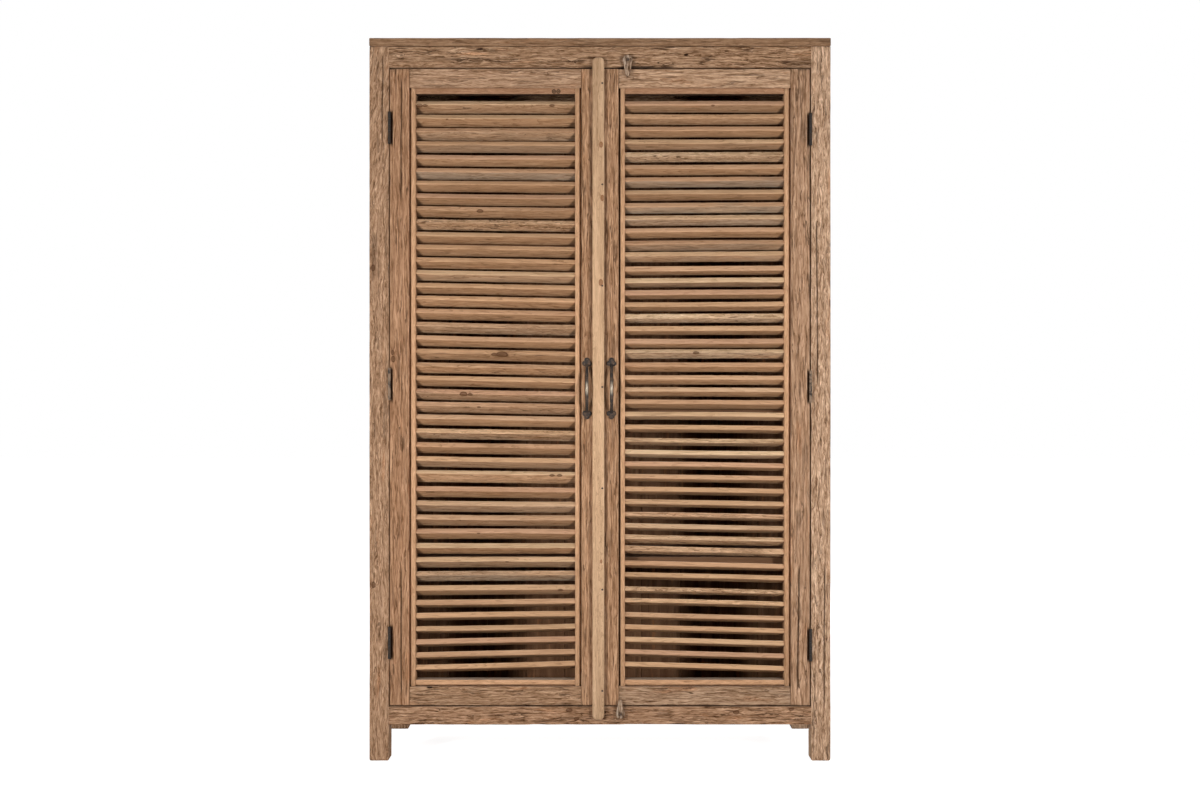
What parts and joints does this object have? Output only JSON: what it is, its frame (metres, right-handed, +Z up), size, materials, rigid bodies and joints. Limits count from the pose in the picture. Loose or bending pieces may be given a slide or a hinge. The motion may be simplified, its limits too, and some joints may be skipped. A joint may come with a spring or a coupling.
{
  "type": "louvred door cabinet",
  "caption": "Tall free-standing cupboard with a pair of louvred timber doors, butt hinges, bow pulls, a lapped meeting strip, wooden turn buttons and plank shelves.",
  "frame": {"origin": "on the floor, at the middle of the cabinet's footprint with its pulls", "axes": "+Z up, +X to the right as one faces the doors, +Y from the doors to the back"},
  "size_m": [1.2, 0.48, 1.88],
  "materials": {
    "weathered_wood": "matt, weathered and brushed",
    "slat_wood": "matt, planed",
    "louvre_strip_wood": "matt, planed",
    "meeting_strip_wood": "satin, planed",
    "inner_wood": "matt, sawn",
    "button_wood": "matt, weathered",
    "handle_iron": "antique, worn bright where it is held",
    "hinge_iron": "dark, satin",
    "fastener_iron": "dark, dull"
  },
  "bodies": {
    "carcase": {"back_bottom_rail": "weathered_wood", "back_planks": "inner_wood", "back_top_rail": "weathered_wood", "bottom_button_screw": "fastener_iron", "cleats_left": "inner_wood", "cleats_right": "inner_wood", "floor_planks": "inner_wood", "front_bottom_rail": "weathered_wood", "front_top_rail": "weathered_wood", "hinge_pins_left": "hinge_iron", "hinge_pins_right": "hinge_iron", "hinge_post_leaves_left": "hinge_iron", "hinge_post_leaves_right": "hinge_iron", "hinge_post_screws_left": "hinge_iron", "hinge_post_screws_right": "hinge_iron", "post_back_left": "weathered_wood", "post_back_right": "weathered_wood", "post_front_left": "weathered_wood", "post_front_right": "weathered_wood", "shelf_lower": "inner_wood", "shelf_middle": "inner_wood", "shelf_upper": "inner_wood", "side_bottom_rail_left": "weathered_wood", "side_bottom_rail_right": "weathered_wood", "side_planks_left": "weathered_wood", "side_planks_right": "weathered_wood", "side_top_rail_left": "weathered_wood", "side_top_rail_right": "weathered_wood", "top_button_screw": "fastener_iron", "top_planks": "weathered_wood"},
    "left_door": {"hinge_door_leaves_left": "hinge_iron", "hinge_door_screws_left": "hinge_iron", "left_door_bottom_rail": "weathered_wood", "left_door_top_rail": "weathered_wood", "left_handle": "handle_iron", "left_handle_tacks": "fastener_iron", "left_hinge_stile": "weathered_wood", "left_louvre_head_strip": "louvre_strip_wood", "left_louvre_hinge_strip": "louvre_strip_wood", "left_louvre_meeting_strip": "louvre_strip_wood", "left_louvre_sill_strip": "louvre_strip_wood", "left_meeting_stile": "weathered_wood", "left_slats": "slat_wood"},
    "right_door": {"hinge_door_leaves_right": "hinge_iron", "hinge_door_screws_right": "hinge_iron", "meeting_strip": "meeting_strip_wood", "meeting_strip_nails": "fastener_iron", "right_door_bottom_rail": "weathered_wood", "right_door_top_rail": "weathered_wood", "right_handle": "handle_iron", "right_handle_tacks": "fastener_iron", "right_hinge_stile": "weathered_wood", "right_louvre_head_strip": "louvre_strip_wood", "right_louvre_hinge_strip": "louvre_strip_wood", "right_louvre_meeting_strip": "louvre_strip_wood", "right_louvre_sill_strip": "louvre_strip_wood", "right_meeting_stile": "weathered_wood", "right_slats": "slat_wood"},
    "top_button": {"top_button": "button_wood"},
    "bottom_button": {"bottom_button": "button_wood"}
  },
  "joints": [
    {"name": "left_door_hinge", "type": "hinge", "parent": "carcase", "child": "left_door", "pos_m": [-0.547, -0.2132, 0.973], "axis": [0, 0, -1], "range_deg": [0, 165]},
    {"name": "right_door_hinge", "type": "hinge", "parent": "carcase", "child": "right_door", "pos_m": [0.547, -0.2132, 0.973], "axis": [0, 0, 1], "range_deg": [0, 165]},
    {"name": "top_button_pivot", "type": "hinge", "parent": "carcase", "child": "top_button", "pos_m": [0.0718, -0.2161, 1.8205], "axis": [0, -1, 0], "range_deg": [-140, 140]},
    {"name": "bottom_button_pivot", "type": "hinge", "parent": "carcase", "child": "bottom_button", "pos_m": [0.0525, -0.2161, 0.1243], "axis": [0, -1, 0], "range_deg": [-140, 140]}
  ]
}
